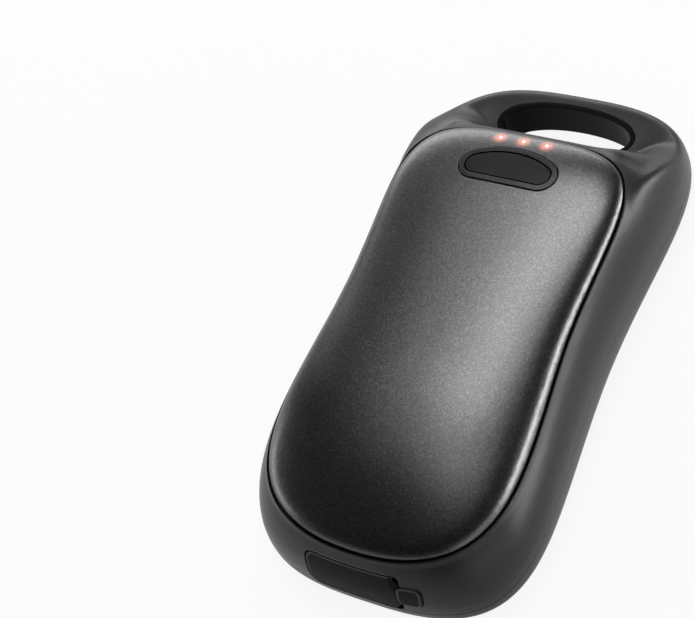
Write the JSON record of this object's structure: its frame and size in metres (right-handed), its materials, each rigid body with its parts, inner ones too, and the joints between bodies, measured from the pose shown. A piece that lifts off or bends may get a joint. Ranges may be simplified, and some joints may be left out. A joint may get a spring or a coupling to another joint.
{
  "type": "rechargeable hand warmer",
  "caption": "Pebble-shaped rechargeable hand warmer with a finger loop, a domed metal panel, a push button with indicator lights and a rubber flap over its charging port.",
  "frame": {"origin": "on the flat back, below the middle of the body", "axes": "+Z out of the front panel, +Y to the finger loop, +X across"},
  "size_m": [0.0556, 0.108, 0.0227],
  "materials": {
    "shell": "soft-touch fine matte moulding",
    "panel": "dark grey metallic paint with a fine grain",
    "bezel": "dark grey metallic paint",
    "button": "fine matte",
    "liner": "smooth, half gloss",
    "rubber": "matte rubber",
    "light_guide": "clear moulding, lit from below",
    "board": "solder mask",
    "black_parts": "moulded chip packages",
    "steel": "plain",
    "film": "amber film",
    "foam": "closed-cell foam",
    "cell": "pouch foil",
    "carrier": "plain moulding"
  },
  "bodies": {
    "housing": {"mid_frame": "shell", "back_cover": "shell", "loop_liner": "liner", "front_panel": "panel", "panel_gasket": "rubber", "button_bezel": "bezel", "tact_switch": "black_parts", "light_guide": "light_guide", "control_board": "board", "control_chip": "black_parts", "indicator_leds": "light_guide", "charge_board": "board", "usb_shell": "steel", "usb_tongue": "black_parts", "charge_chip": "black_parts", "power_inductor": "black_parts", "chip_capacitors": "film", "battery_carrier": "carrier", "battery_tabs": "steel", "ribbon_cable": "film", "front_heater": "film", "front_foam": "foam", "thermistor": "black_parts", "flap_anchor": "rubber", "battery_cell": "cell", "back_heat_plate": "cell", "back_heater": "film", "back_foam": "foam", "case_screws": "steel", "board_screws": "steel"},
    "button": {"button_cap": "button", "switch_plunger": "button"},
    "flap": {"port_flap": "rubber"}
  },
  "joints": [
    {"name": "button_press", "type": "slide", "parent": "housing", "child": "button", "axis": [0, 0, -1], "range_m": [0, 0.0004], "stiffness_N_per_m": 3000},
    {"name": "flap_hinge", "type": "hinge", "parent": "housing", "child": "flap", "pos_m": [0.0077, -0.0523, 0.00726], "axis": [0, 0.2624, 0.965], "range_deg": [0, 90], "stiffness_Nm_per_rad": 0.002}
  ]
}
